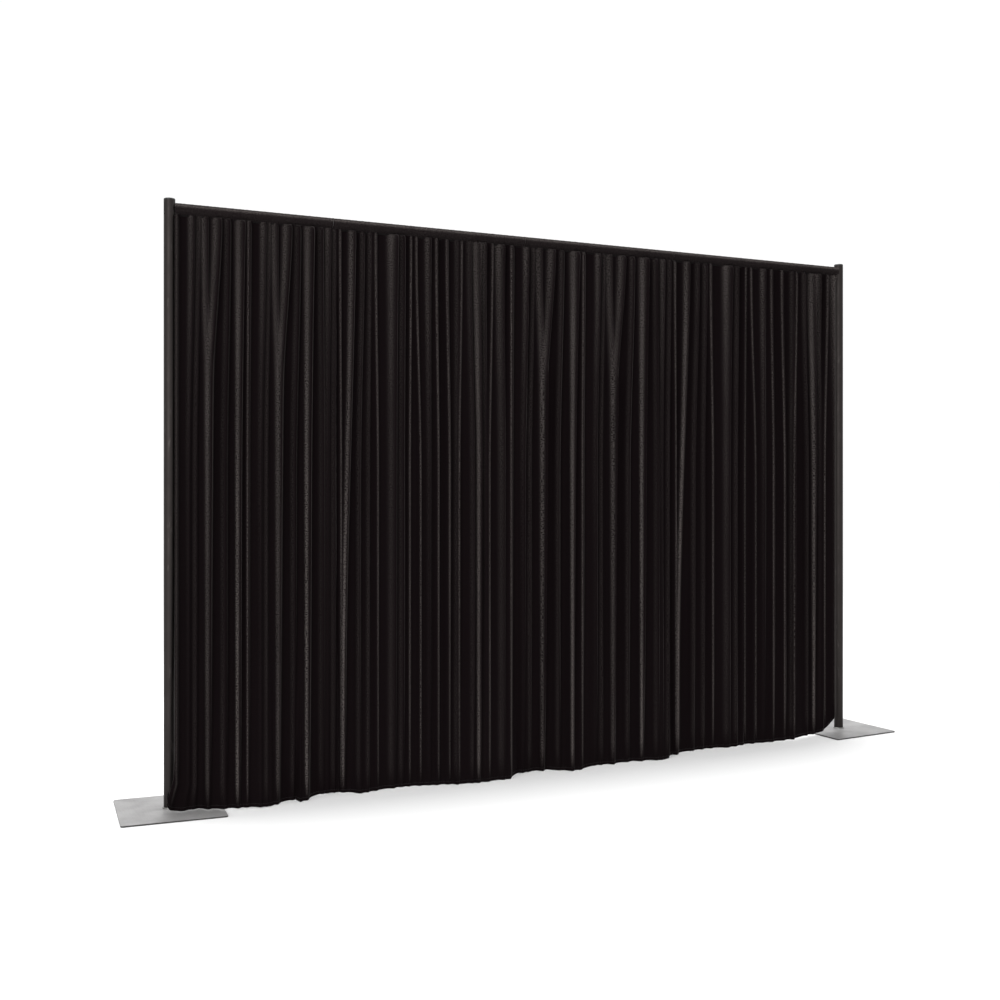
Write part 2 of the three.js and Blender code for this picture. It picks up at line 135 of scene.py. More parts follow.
class Shader:
    """A material's node tree, with short ways to add and join its nodes."""

    # Where the Mix node keeps its colours, as its sockets for other types have the same names.
    MIXED_INPUTS = (6, 7)
    MIXED_OUTPUT = 2

    def __init__(self, name: str, follows_cloth: bool = False) -> None:
        """Starts a material with one principled surface.

        Args:
            name: the finish in plain words.
            follows_cloth: whether patterns follow the piece's own UV map, and not its place.
        """
        self.material = bpy.data.materials.new(name)
        self.material.use_nodes = True
        self.tree = self.material.node_tree
        self.tree.nodes.clear()
        self.surface = self.add("ShaderNodeBsdfPrincipled")
        output = self.add("ShaderNodeOutputMaterial")
        self.tree.links.new(self.surface.outputs["BSDF"], output.inputs["Surface"])
        coordinates = self.add("ShaderNodeTexCoord")
        self.place = coordinates.outputs["UV" if follows_cloth else "Object"]

    def add(self, kind: str, **settings: object) -> bpy.types.ShaderNode:
        """Adds a node.

        Args:
            kind: Blender's name for the node's type.
            settings: the node's properties.

        Returns:
            The node.
        """
        node = self.tree.nodes.new(kind)
        for name, value in settings.items():
            setattr(node, name, value)
        return node

    def give(self, socket: bpy.types.NodeSocket, value: object) -> None:
        """Links an input to another socket, or gives it a value.

        Args:
            socket: the input.
            value: the other socket or the value.
        """
        if isinstance(value, bpy.types.NodeSocket):
            self.tree.links.new(value, socket)
        else:
            socket.default_value = value

    def feed(self, node: bpy.types.ShaderNode, **inputs: object) -> bpy.types.ShaderNode:
        """Sets or links a node's inputs.

        Args:
            node: the node.
            inputs: a value or an output socket for each input, with _ for a space in its name.

        Returns:
            The same node.
        """
        for name, value in inputs.items():
            self.give(node.inputs[name.replace("_", " ")], value)
        return node

    def noise(self, grain: Grain) -> bpy.types.NodeSocket:
        """Adds a noise pattern.

        Args:
            grain: the pattern's sizes.

        Returns:
            The pattern, from 0 to 1.
        """
        mapping = self.feed(self.add("ShaderNodeMapping"), Vector=self.place, Scale=grain.stretch)
        texture = self.add("ShaderNodeTexNoise")
        self.feed(texture, Vector=mapping.outputs["Vector"], Scale=grain.scale, Detail=grain.detail)
        return texture.outputs["Fac"]

    def remap(self, value: bpy.types.NodeSocket, given: Pair = NOISE_RANGE,
              wanted: Pair = (0, 1)) -> bpy.types.NodeSocket:
        """Stretches a range of values onto another.

        Args:
            value: what is stretched.
            given: the first range.
            wanted: the range that it becomes.

        Returns:
            The stretched value, clamped.
        """
        node = self.add("ShaderNodeMapRange")
        self.feed(node, Value=value, From_Min=given[0], From_Max=given[1], To_Min=wanted[0], To_Max=wanted[1])
        return node.outputs["Result"]

    def mix(self, share: bpy.types.NodeSocket, first: object, second: object) -> bpy.types.NodeSocket:
        """Mixes two colours.

        Args:
            share: how much of the second.
            first: a colour or a socket.
            second: a colour or a socket.

        Returns:
            The mixed colour.
        """
        node = self.add("ShaderNodeMix", data_type="RGBA")
        self.tree.links.new(share, node.inputs[0])
        for index, value in zip(self.MIXED_INPUTS, (first, second)):
            self.give(node.inputs[index], value if isinstance(value, bpy.types.NodeSocket) else (*value, 1))
        return node.outputs[self.MIXED_OUTPUT]

    def times(self, first: bpy.types.NodeSocket, second: bpy.types.NodeSocket) -> bpy.types.NodeSocket:
        """Multiplies two values.

        Args:
            first: a socket.
            second: a socket.

        Returns:
            Their product.
        """
        node = self.add("ShaderNodeMath", operation="MULTIPLY")
        self.tree.links.new(first, node.inputs[0])
        self.tree.links.new(second, node.inputs[1])
        return node.outputs[0]

    def relief(self, height: bpy.types.NodeSocket, bump: Bump,
               under: bpy.types.NodeSocket | None = None) -> bpy.types.NodeSocket:
        """Adds relief.

        Args:
            height: the pattern.
            bump: the relief's strength and depth.
            under: the normal of coarser relief below it.

        Returns:
            The bumped normal.
        """
        node = self.add("ShaderNodeBump")
        self.feed(node, Height=height, Strength=bump.strength, Distance=bump.depth)
        if under is not None:
            self.tree.links.new(under, node.inputs["Normal"])
        return node.outputs["Normal"]


@dataclass(frozen=True)
class Velour:
    """A short, dense pile, nearly black, with grey highlight bands painted into its colour along the folds.
    """

    name: str = "velour"
    ground: Colour = (0.0046, 0.003, 0.0034)
    # Painted highlight: the grey painted into the pile along the folds' bands.
    painted_highlight_colour: Colour = (0.079, 0.069, 0.066)
    pile: Grain = Grain(600, detail=1)
    tufts: Grain = Grain(250, detail=0)
    strokes: Grain = Grain(22, (1, 0.15, 1))
    tuft_range: Pair = (0.32, 0.68)
    tuft_shares: Pair = (0, 2)
    pile_shares: Pair = (0.6, 1.4)
    stroke_shares: Pair = (0.8, 1.1)
    pile_bump: Bump = Bump(0.4, 0.0005)
    tuft_bump: Bump = Bump(0.35, 0.0012)
    roughness: Pair = (0.85, 1)
    specular: float = 0.02
    sheen: float = 0.3
    sheen_tint: Colour = (0.3, 0.27, 0.26)
    sheen_roughness: float = 0.25

    def material(self) -> bpy.types.Material:
        """Builds the finish, on the cloth's own UV map in metres, with highlight bands painted into its
        colour from an attribute of the cloth.

        Returns:
            The material.
        """
        shader = Shader(self.name, follows_cloth=True)
        pile = shader.noise(self.pile)
        tufts = shader.noise(self.tufts)
        strokes = shader.noise(self.strokes)
        # Painted highlight: a point attribute of the cloth says how much of the grey highlight colour is
        # painted into the pile.
        painted_sheen = shader.add("ShaderNodeAttribute", attribute_name="painted_sheen").outputs["Fac"]
        speckle = shader.times(shader.remap(tufts, self.tuft_range, self.tuft_shares),
                               shader.remap(pile, wanted=self.pile_shares))
        share = shader.times(shader.times(painted_sheen, speckle), shader.remap(strokes, wanted=self.stroke_shares))
        normal = shader.relief(pile, self.pile_bump, shader.relief(tufts, self.tuft_bump))
        shader.feed(shader.surface, Base_Color=shader.mix(share, self.ground, self.painted_highlight_colour),
                    Roughness=shader.remap(tufts, wanted=self.roughness), Normal=normal)
        shader.feed(shader.surface, Specular_IOR_Level=self.specular, Sheen_Weight=self.sheen,
                    Sheen_Roughness=self.sheen_roughness, Sheen_Tint=(*self.sheen_tint, 1))
        return shader.material


@dataclass(frozen=True)
class Backing:
    """The plain woven back of the velour."""

    name: str = "backing"
    yarn: Colour = (0.0075, 0.0068, 0.0066)
    gap: Colour = (0.0025, 0.002, 0.002)
    across: Grain = Grain(1100, (1, 0.08, 1), 1)
    down: Grain = Grain(1100, (0.08, 1, 1), 1)
    down_shares: Pair = (0.4, 1)
    bump: Bump = Bump(0.4, 0.0004)
    roughness: Pair = (0.95, 0.8)
    specular: float = 0.1

    def material(self) -> bpy.types.Material:
        """Builds the finish, on the cloth's own UV map in metres.

        Returns:
            The material.
        """
        shader = Shader(self.name, follows_cloth=True)
        across = shader.remap(shader.noise(self.across))
        down = shader.remap(shader.noise(self.down), wanted=self.down_shares)
        weave = shader.times(across, down)
        shader.feed(shader.surface, Base_Color=shader.mix(weave, self.gap, self.yarn),
                    Roughness=shader.remap(weave, (0, 1), self.roughness), Specular_IOR_Level=self.specular,
                    Normal=shader.relief(weave, self.bump))
        return shader.material


@dataclass(frozen=True)
class Thread:
    """Twisted polyester sewing thread."""

    name: str = "thread"
    shadow: Colour = (0.004, 0.0035, 0.0035)
    light: Colour = (0.016, 0.0145, 0.014)
    twist: Grain = Grain(1400, (1, 1, 0.4), 1)
    bump: Bump = Bump(0.4, 0.0002)
    roughness: Pair = (0.45, 0.65)

    def material(self) -> bpy.types.Material:
        """Builds the finish.

        Returns:
            The material.
        """
        shader = Shader(self.name)
        twist = shader.noise(self.twist)
        shader.feed(shader.surface, Base_Color=shader.mix(twist, self.shadow, self.light),
                    Roughness=shader.remap(twist, wanted=self.roughness),
                    Normal=shader.relief(twist, self.bump))
        return shader.material


@dataclass(frozen=True)
class DrawnMetal:
    """Metal tube or bar with faint drawn or turned lines, and handling marks."""

    name: str
    colour: Colour
    worn: Colour
    roughness: float
    lines: Grain = Grain(900, (1, 1, 0.01))
    clouds: Grain = Grain(14, detail=4)
    cloud_range: Pair = (0.25, 0.75)
    cloud_shares: Pair = (0.85, 1.2)
    marks: Grain = Grain(75, (1, 1, 0.25), 5)
    mark_range: Pair = (0.62, 0.72)
    wear_share: float = 0.5
    bump: Bump = Bump(0.12, 0.0003)

    def material(self) -> bpy.types.Material:
        """Builds the finish.

        Returns:
            The material.
        """
        shader = Shader(self.name)
        lines = shader.noise(self.lines)
        marks = shader.remap(shader.noise(self.marks), self.mark_range, (0, self.wear_share))
        smoothest, roughest = self.cloud_shares
        rough = shader.remap(shader.noise(self.clouds), self.cloud_range,
                             (self.roughness * smoothest, self.roughness * roughest))
        shader.feed(shader.surface, Base_Color=shader.mix(marks, self.colour, self.worn), Metallic=1,
                    Roughness=rough, Normal=shader.relief(lines, self.bump))
        return shader.material


@dataclass(frozen=True)
class PlateSteel:
    """Polished flat steel with fine scratches, and its side faces painted near black as shade."""

    name: str = "plate_steel"
    face: Colour = (0.34, 0.335, 0.335)
    dull: Colour = (0.23, 0.225, 0.225)
    # Painted shade: near black on the side faces.
    edge: Colour = (0.022, 0.021, 0.02)
    scratches: Grain = Grain(420, (1, 0.05, 1), 4)
    scratch_range: Pair = (0.1, 0.4)
    scratch_bump: Bump = Bump(0.08, 0.0002)
    crossing: Grain = Grain(300, (0.06, 1, 1), 4)
    crossing_bump: Bump = Bump(0.06, 0.0002)
    clouds: Grain = Grain(9, detail=5)
    cloud_range: Pair = (0.35, 0.75)
    level_range: Pair = (0.45, 0.85)
    roughness: Pair = (0.38, 0.54)
    metallic: float = 0.12

    def material(self) -> bpy.types.Material:
        """Builds the finish, which tells the faces from the edges by where they point and paints shade on the
        edges.

        Returns:
            The material.
        """
        shader = Shader(self.name)
        scratches = shader.noise(self.scratches)
        clouds = shader.noise(self.clouds)
        parts = shader.add("ShaderNodeSeparateXYZ")
        shader.feed(parts, Vector=shader.add("ShaderNodeNewGeometry").outputs["Normal"])
        upward = shader.add("ShaderNodeMath", operation="ABSOLUTE")
        shader.tree.links.new(parts.outputs["Z"], upward.inputs[0])
        level = shader.remap(upward.outputs[0], self.level_range)
        metal = shader.mix(shader.remap(clouds, self.cloud_range), self.face, self.dull)
        rough = shader.remap(shader.times(scratches, clouds), self.scratch_range, self.roughness)
        normal = shader.relief(shader.noise(self.crossing), self.crossing_bump,
                               shader.relief(scratches, self.scratch_bump))
        # Painted shade: the edge colour wherever the surface is not level.
        shader.feed(shader.surface, Base_Color=shader.mix(level, self.edge, metal), Metallic=self.metallic,
                    Roughness=rough, Normal=normal)
        return shader.material


@dataclass(frozen=True)
class CastMetal:
    """Plated casting with a slightly pitted skin."""

    name: str
    colour: Colour
    stain: Colour
    roughness: Pair = (0.34, 0.54)
    pits: Grain = Grain(650, detail=3)
    patches: Grain = Grain(60, detail=4)
    patch_range: Pair = (0.45, 0.7)
    bump: Bump = Bump(0.3, 0.0003)

    def material(self) -> bpy.types.Material:
        """Builds the finish.

        Returns:
            The material.
        """
        shader = Shader(self.name)
        pits = shader.noise(self.pits)
        patches = shader.remap(shader.noise(self.patches), self.patch_range)
        shader.feed(shader.surface, Base_Color=shader.mix(patches, self.colour, self.stain), Metallic=1,
                    Roughness=shader.remap(pits, wanted=self.roughness),
                    Normal=shader.relief(pits, self.bump))
        return shader.material


@dataclass(frozen=True)
class MouldedPlastic:
    """Fine-grained black plastic with a little dust on it."""

    name: str
    colour: Colour
    dusty: Colour
    roughness: Pair = (0.4, 0.55)
    grain: Grain = Grain(2200)
    dust: Grain = Grain(120, detail=4)
    dust_range: Pair = (0.55, 0.8)
    bump: Bump = Bump(0.15, 0.0001)

    def material(self) -> bpy.types.Material:
        """Builds the finish.

        Returns:
            The material.
        """
        shader = Shader(self.name)
        grain = shader.noise(self.grain)
        dust = shader.noise(self.dust)
        shader.feed(shader.surface,
                    Base_Color=shader.mix(shader.remap(dust, self.dust_range), self.colour, self.dusty),
                    Roughness=shader.remap(dust, wanted=self.roughness),
                    Normal=shader.relief(grain, self.bump))
        return shader.material


@dataclass(frozen=True)
class PaintedFloor:
    """A matt white studio floor."""

    name: str = "studio_floor"
    colour: Colour = (1, 1, 1)
    shaded: Colour = (0.99, 0.99, 0.99)
    shade: Grain = Grain(1.5)
    roughness: float = 0.95
    specular: float = 0.1

    def material(self) -> bpy.types.Material:
        """Builds the finish.

        Returns:
            The material.
        """
        shader = Shader(self.name)
        shader.feed(shader.surface, Base_Color=shader.mix(shader.noise(self.shade), self.colour, self.shaded),
                    Roughness=self.roughness, Specular_IOR_Level=self.specular)
        return shader.material


HardFinish = DrawnMetal | PlateSteel | CastMetal | MouldedPlastic


@dataclass(frozen=True)
class PhotoCamera:
    """The camera that sees the backdrop as the photograph does.

    Attributes:
        image_side: the photograph's width and height in pixels.
        sensor: the sensor's width in millimetres.
        lens: the focal length in millimetres.
        shift: how far the lens is shifted, as shares of the sensor's width.
        place: where it stands.
        yaw: how far it is turned from +Y towards +X.
        view_limit: how far it sees.
    """

    image_side: float = 1000
    sensor: float = 36
    lens: float = 43.83
    shift: Pair = (0.00115, -0.0256)
    place: Triple = (-2.3791, -4.3586, 1.1792)
    yaw: float = math.radians(26.28)
    view_limit: float = 500

    def make(self) -> None:
        """Makes the camera and looks through it."""
        data = bpy.data.cameras.new("camera")
        data.lens = self.lens
        data.sensor_width = self.sensor
        data.shift_x, data.shift_y = self.shift
        data.clip_end = self.view_limit
        camera = bpy.data.objects.new("camera", data)
        camera.location = self.place
        camera.rotation_euler = (math.pi / 2, 0, -self.yaw)
        bpy.context.scene.collection.objects.link(camera)
        bpy.context.scene.camera = camera

    def offsets(self, columns: np.ndarray) -> np.ndarray:
        """Finds how far aside of the view's axis pixel columns of the photograph are, at unit distance."""
        return (columns / self.image_side - 0.5 + self.shift[0]) * self.sensor / self.lens

    def along_bar(self, columns: np.ndarray, depths: np.ndarray) -> np.ndarray:
        """Finds where pixel columns of the photograph meet planes parallel to the cloth.

        Args:
            columns: the pixel columns.
            depths: the planes' Y.

        Returns:
            The X of each meeting point.
        """
        directions = self.yaw + np.arctan(self.offsets(columns))
        return self.place[0] + np.tan(directions) * (depths - self.place[1])

    def depth_on_level(self, columns: np.ndarray, rows: np.ndarray, height: float) -> np.ndarray:
        """Finds where pixels of the photograph meet a level plane.

        Args:
            columns: the pixels' columns.
            rows: the pixels' rows.
            height: the plane's Z.

        Returns:
            The Y of each meeting point.
        """
        falls = (rows / self.image_side - 0.5 - self.shift[1]) * self.sensor / self.lens
        ahead = (self.place[2] - height) / falls
        aside = ahead * self.offsets(columns)
        return self.place[1] + ahead * math.cos(self.yaw) - aside * math.sin(self.yaw)

    def column_of(self, x: np.ndarray, y: np.ndarray) -> np.ndarray:
        """Finds the pixel columns where points are seen.

        Args:
            x: the points' X.
            y: the points' Y.

        Returns:
            A column for each point.
        """
        turn = np.arctan2(x - self.place[0], y - self.place[1]) - self.yaw
        return self.image_side * (0.5 - self.shift[0] + np.tan(turn) * self.lens / self.sensor)


@dataclass(frozen=True)
class Lamp:
    """A soft light.

    Attributes:
        name: the light's name.
        place: where it stands.
        aim: what it looks at.
        size: its width along the bar and its depth.
        power: its watts.
    """

    name: str
    place: Triple
    aim: Triple
    size: Pair
    power: float

    def make(self) -> None:
        """Makes the light."""
        data = bpy.data.lights.new(self.name, "AREA")
        data.shape = "RECTANGLE"
        data.size, data.size_y = self.size
        data.energy = self.power
        lamp = bpy.data.objects.new(self.name, data)
        lamp.location = self.place
        lamp.rotation_euler = (Vector(self.aim) - Vector(self.place)).to_track_quat("-Z", "Y").to_euler()
        bpy.context.scene.collection.objects.link(lamp)


@dataclass(frozen=True)
class Studio:
    """Plain floor and soft light, under a white sky."""

    floor_size: float = 400.0
    sky: float = 1.03
    lamps: tuple[Lamp, ...] = (
        Lamp("key", (-4.4, -4.8, 2.2), (0, 0, 1.1), (2.4, 2.4), 150.0),
        Lamp("top", (0, 0.55, 4.4), (0, 0.55, 0), (4.8, 0.8), 150.0),
    )

    def make(self) -> None:
        """Makes the floor, the sky and the lights."""
        self.floor()
        world = bpy.data.worlds.new("studio")
        world.use_nodes = True
        background = world.node_tree.nodes["Background"]
        background.inputs["Color"].default_value = (1, 1, 1, 1)
        background.inputs["Strength"].default_value = self.sky
        bpy.context.scene.world = world
        bpy.context.scene.view_settings.view_transform = "Standard"
        for lamp in self.lamps:
            lamp.make()

    def floor(self) -> None:
        """Makes the floor."""
        half = self.floor_size / 2
        mesh = bpy.data.meshes.new("floor")
        corners = [(-half, -half, 0), (half, -half, 0), (half, half, 0), (-half, half, 0)]
        mesh.from_pydata(corners, [], [(0, 1, 2, 3)])
        mesh.materials.append(PaintedFloor().material())
        plane = bpy.data.objects.new("floor", mesh)
        bpy.context.scene.collection.objects.link(plane)


@dataclass(frozen=True)
class Crossbar:
    """Where the cloth hangs.

    Attributes:
        height: the height of the bar's axis.
        span: the distance between the uprights' axes.
        middle: the X halfway between them.
        upright_room: the radius round an upright's axis that the cloth's middle keeps clear.
        cloth_start: where the cloth starts along the bar.
        cloth_width: how much of the bar it takes.
        travel: how far the crossbar pushes in.
        joint: the joint that does this.
    """

    height: float = 2.1186
    span: float = 3.048
    middle: float = 0.0034377
    upright_room: float = 0.0215
    cloth_start: float = -1.4910
    cloth_width: float = 2.9888
    travel: float = 1.219
    joint: str = "crossbar_telescope"

    @property
    def cloth_end(self) -> float:
        """Where the cloth ends along the bar."""
        return self.cloth_start + self.cloth_width

    @property
    def keep(self) -> float:
        """The share of the cloth's width that is left with the crossbar pushed in."""
        return 1 - self.travel / self.cloth_width

    def beside(self, side: Side, depth: float) -> float:
        """Finds how near to an upright's axis the cloth can come.

        Args:
            side: which upright.
            depth: the Y of the place.

        Returns:
            The X that leaves the cloth clear of the upright, with no limit before or behind it.
        """
        inward = 1 if side is Side.LEFT else -1
        if abs(depth) > self.upright_room:
            return -inward * math.inf
        reach = math.sqrt(self.upright_room ** 2 - depth ** 2)
        return self.middle - inward * (self.span / 2 - reach)


@dataclass(frozen=True)
class StitchRow:
    """A row of lockstitches along a path, made with geometry nodes.

    Attributes:
        pitch: how far apart the stitches are.
        length: a stitch's length.
        radius: the thread's radius.
        sides: how many faces are round a stitch.
    """

    pitch: float = 0.0042
    length: float = 0.003
    radius: float = 0.0004
    sides: int = 6

    def tree(self) -> bpy.types.NodeTree:
        """Builds the node tree, or finds it if it is built.

        Returns:
            The tree, with named inputs for the path, pitch, length, radius and thread.
        """
        known = bpy.data.node_groups.get("stitch_row")
        if known:
            return known
        tree = bpy.data.node_groups.new("stitch_row", "GeometryNodeTree")
        sockets = {"Path": "Geometry", "Pitch": "Float", "Stitch length": "Float",
                   "Stitch radius": "Float", "Thread": "Material"}
        for name, kind in sockets.items():
            tree.interface.new_socket(name, in_out="INPUT", socket_type=f"NodeSocket{kind}")
        tree.interface.new_socket("Stitches", in_out="OUTPUT", socket_type="NodeSocketGeometry")
        inputs = tree.nodes.new("NodeGroupInput")
        outputs = tree.nodes.new("NodeGroupOutput")
        curve = tree.nodes.new("GeometryNodeMeshToCurve")
        spaced = tree.nodes.new("GeometryNodeResampleCurve")
        spaced.mode = "LENGTH"
        tangent = tree.nodes.new("GeometryNodeInputTangent")
        turned = tree.nodes.new("FunctionNodeAlignRotationToVector")
        turned.axis = "Z"
        stitch = tree.nodes.new("GeometryNodeMeshCylinder")
        stitch.inputs["Vertices"].default_value = self.sides
        placed = tree.nodes.new("GeometryNodeInstanceOnPoints")
        real = tree.nodes.new("GeometryNodeRealizeInstances")
        dressed = tree.nodes.new("GeometryNodeSetMaterial")
        links = [
            (inputs, "Path", curve, "Mesh"), (curve, "Curve", spaced, "Curve"),
            (inputs, "Pitch", spaced, "Length"), (tangent, "Tangent", turned, "Vector"),
            (inputs, "Stitch length", stitch, "Depth"), (inputs, "Stitch radius", stitch, "Radius"),
            (spaced, "Curve", placed, "Points"), (stitch, "Mesh", placed, "Instance"),
            (turned, "Rotation", placed, "Rotation"), (placed, "Instances", real, "Geometry"),
            (real, "Geometry", dressed, "Geometry"), (inputs, "Thread", dressed, "Material"),
            (dressed, "Geometry", outputs, "Stitches"),
        ]
        for source, given, target, taken in links:
            tree.links.new(source.outputs[given], target.inputs[taken])
        return tree

    def sew(self, name: str, rows: list[np.ndarray], thread: bpy.types.Material) -> bpy.types.Object:
        """Sews rows of stitches.

        Args:
            name: the piece's name.
            rows: the points of each row's path.
            thread: the stitches' material.

        Returns:
            The stitches as one plain mesh.
        """
        points = np.concatenate(rows)
        edges = []
        start = 0
        for row in rows:
            edges += [(i, i + 1) for i in range(start, start + len(row) - 1)]
            start += len(row)
        path = bpy.data.meshes.new(f"{name}_path")
        path.from_pydata(points.tolist(), edges, [])
        piece = bpy.data.objects.new(name, path)
        bpy.context.scene.collection.objects.link(piece)
        tree = self.tree()
        modifier = piece.modifiers.new("stitches", "NODES")
        modifier.node_group = tree
        values = {"Pitch": self.pitch, "Stitch length": self.length, "Stitch radius": self.radius,
                  "Thread": thread}
        for item in tree.interface.items_tree:
            if item.in_out == "INPUT" and item.name in values:
                modifier[item.identifier] = values[item.name]
        made = bpy.data.meshes.new_from_object(piece.evaluated_get(bpy.context.evaluated_depsgraph_get()))
        piece.modifiers.remove(modifier)
        piece.data = made
        bpy.data.meshes.remove(path)
        return piece


def smooth(value: np.ndarray | float) -> np.ndarray | float:
    """Eases a share in and out, clamped between 0 and 1."""
    share = np.clip(value, 0, 1)
    return share * share * (3 - 2 * share)


@dataclass(frozen=True)
class Drapery:
    """The backdrop's folds and the outline of its hem, as the photograph shows them.

    Attributes:
        camera: the photograph's camera.
        folds: each fold's pixel column under the seam and at the hem, and its kind.
        repeat: how many pixel columns lie between each fold and its repeat.
        hem_line: the hem's outline in pixels, as columns and rows.
        hem_level: the height at which that outline is seen.
        most_lean: how far forward the hem may come.
        lean_power: how late in the drop the cloth starts to lean forward.
        crest_depth: the Y of the folds' crests, about.
        crest_share: how many half widths of its painted highlight band a crest stands aside of it.
        hollow_depth: the Y of the hollows.
        tallest: the height of the tallest fold.
        height_share: a fold's height for the space along the bar that it has.
        width_share: its half width for that space.
        wander: how far the whole cloth sways in and out at the seam.
        wander_growth: how much more it sways at the hem.
        wander_length: how far apart the sways are.
        wander_drift: how unevenly they are spaced.
        wander_rate: how fast that changes along the bar.
    """

    camera: PhotoCamera = PhotoCamera()
    folds: tuple[tuple[float, float, Fold], ...] = (
        (176.4, 176.2, Fold.THIN), (190.4, 187.3, Fold.FADING), (197.7, 194.5, Fold.DIM),
        (203.0, 206.7, Fold.PAIR), (215.1, 207.9, Fold.PAIR), (226.0, 222.4, Fold.DIM),
        (238.2, 237.4, Fold.BRIGHT), (248.3, 247.4, Fold.THIN), (262.4, 259.5, Fold.FADING),
        (268.5, 266.0, Fold.DIM), (273.2, 277.2, Fold.PAIR), (285.4, 278.6, Fold.PAIR),
        (296.3, 292.2, Fold.DIM), (307.2, 306.7, Fold.BRIGHT), (319.4, 320.6, Fold.DIM),
        (327.1, 326.0, Fold.FADING), (333.9, 332.7, Fold.DIM), (340.0, 341.2, Fold.THIN),
        (350.9, 343.1, Fold.DRIFTING), (361.8, 358.1, Fold.DIM), (369.5, 367.8, Fold.DIM),
        (375.6, 378.0, Fold.THIN), (390.9, 390.9, Fold.WIDE), (401.3, 400.5, Fold.DIM),
        (411.0, 409.8, Fold.THIN), (416.3, 420.7, Fold.THIN), (427.2, 428.4, Fold.FADING),
        (436.2, 438.6, Fold.THIN), (446.6, 449.7, Fold.THIN), (456.3, 456.0, Fold.DIM),
        (461.9, 459.4, Fold.THIN), (468.4, 472.0, Fold.DIM), (475.7, 478.8, Fold.BRIGHT),
        (483.0, 484.2, Fold.FADING), (492.6, 489.7, Fold.THIN), (498.7, 501.1, Fold.WIDE),
    )
    repeat: float = 335.0
    hem_line: tuple[Pair, ...] = (
        (168, 808), (173, 812), (182, 814.5), (201, 811), (223, 811), (252, 809), (262, 809), (274, 807.5),
        (282, 803.5), (297, 799.5), (303, 802.5), (314, 797), (322, 794), (341, 792), (365, 794), (380, 791),
        (403, 787), (418, 786), (452, 784.5), (465, 787), (478, 783), (505, 781), (513, 779), (521, 773.5),
        (549, 769.8), (576, 771), (586, 770), (598, 765.5), (635, 761.5), (669, 759.6), (675, 754.5),
        (715, 748), (728, 747.5), (740, 746), (753, 744), (798, 739.8), (815, 735.5), (835, 733),
    )
    hem_level: float = 0.0075
    most_lean: float = 0.15
    lean_power: int = 5
    crest_depth: float = -0.028
    crest_share: float = 1.8
    hollow_depth: float = 0.008
    tallest: float = 0.042
    height_share: float = 1.05
    width_share: float = 0.29
    wander: float = 0.003
    wander_growth: float = 0.007
    wander_length: float = 0.31
    wander_drift: float = 1.3
    wander_rate: float = 2.7

    def lean(self, x: np.ndarray, drop: float) -> np.ndarray:
        """Finds how far the cloth stands forward of the bar, most of it in the last third above the hem.

        Args:
            x: places along the bar.
            drop: the row's share of the drop.

        Returns:
            A distance for each place.
        """
        columns, rows = np.array(self.hem_line).T
        depths = self.camera.depth_on_level(columns, rows, self.hem_level)
        leans = np.clip(self.crest_depth - depths, 0, self.most_lean)
        seen = self.camera.column_of(x, self.crest_depth)
        return np.interp(seen, columns, leans) * drop ** self.lean_power

    def forward(self, x: np.ndarray, lean: np.ndarray) -> np.ndarray:
        """Brings places along the bar nearer to the camera, so that each is still seen in its pixel column.

        Args:
            x: places along the bar.
            lean: how far each comes forward.

        Returns:
            The X of each place there.
        """
        return self.camera.along_bar(self.camera.column_of(x, self.crest_depth), self.crest_depth - lean)

    def columns(self, drop: float) -> np.ndarray:
        """Finds the pixel columns of the folds' painted highlight bands.

        Args:
            drop: the row's share of the drop.

        Returns:
            A column for each fold.
        """
        first = [top + (hem - top) * smooth(drop / kind.value.settle) for top, hem, kind in self.folds]
        return np.concatenate([first, np.array(first) + self.repeat])

    def values(self, name: str, drop: float) -> np.ndarray:
        """Reads one of the values that the kinds of fold have, faded from the seam to the hem.

        Args:
            name: which value of a fold's shape.
            drop: the row's share of the drop.

        Returns:
            A value for each fold.
        """
        shapes = [kind.value for _, _, kind in self.folds] * 2
        pairs = np.array([getattr(shape, name) for shape in shapes])
        fades = np.array([shape.fade for shape in shapes])
        return pairs[:, 1] + (pairs[:, 0] - pairs[:, 1]) * np.exp(-drop / fades)

    def spaces(self) -> np.ndarray:
        """Finds each fold's space along the bar, halfway between its mean gap and its smaller gap.

        Returns:
            A width for each fold.
        """
        gaps = np.diff(self.camera.along_bar(self.columns(0), self.crest_depth))
        before = np.concatenate([gaps[:1], gaps])
        after = np.concatenate([gaps, gaps[-1:]])
        return (before + after + 2 * np.minimum(before, after)) / 4

    def relief(self, x: np.ndarray, drop: float) -> np.ndarray:
        """Works out how far the folds stand behind or before the bar's plane along one row.

        Args:
            x: places along the bar.
            drop: the row's share of the drop.

        Returns:
            A Y for each place.
        """
        space = self.spaces()
        heights = np.minimum(self.height_share * space, self.tallest) * self.values("height", drop)
        columns = self.columns(drop) + self.crest_share * self.values("width", drop)
        leans = self.lean(self.camera.along_bar(columns, self.crest_depth), drop)
        centres = self.camera.along_bar(columns, self.crest_depth - leans)
        depth = np.full_like(x, self.hollow_depth)
        for centre, height, width in zip(centres, heights, self.width_share * space):
            depth -= height * np.exp(-((x - centre) / width) ** 2)
        turn = 2 * math.pi * x / self.wander_length + self.wander_drift * np.sin(self.wander_rate * x)
        return depth + (self.wander + self.wander_growth * drop) * np.sin(turn)

    def painted_sheen(self, x: np.ndarray, y: np.ndarray, drop: float) -> np.ndarray:
        """Works out how much highlight is painted into the cloth's colour along one row, in a band at each
        fold's pixel column.

        Args:
            x: the row's X.
            y: the row's Y.
            drop: the row's share of the drop.

        Returns:
            A share for each place.
        """
        # Painted highlight: bands placed by where the camera sees each point, not by how light falls on it.
        seen = self.camera.column_of(x, y)
        painted_sheen = np.zeros_like(x)
        bands = zip(self.columns(drop), self.values("painted_sheen", drop), self.values("width", drop))
        for column, share, width in bands:
            painted_sheen += share * np.exp(-((seen - column) / width) ** 2)
        return np.minimum(painted_sheen, 1)


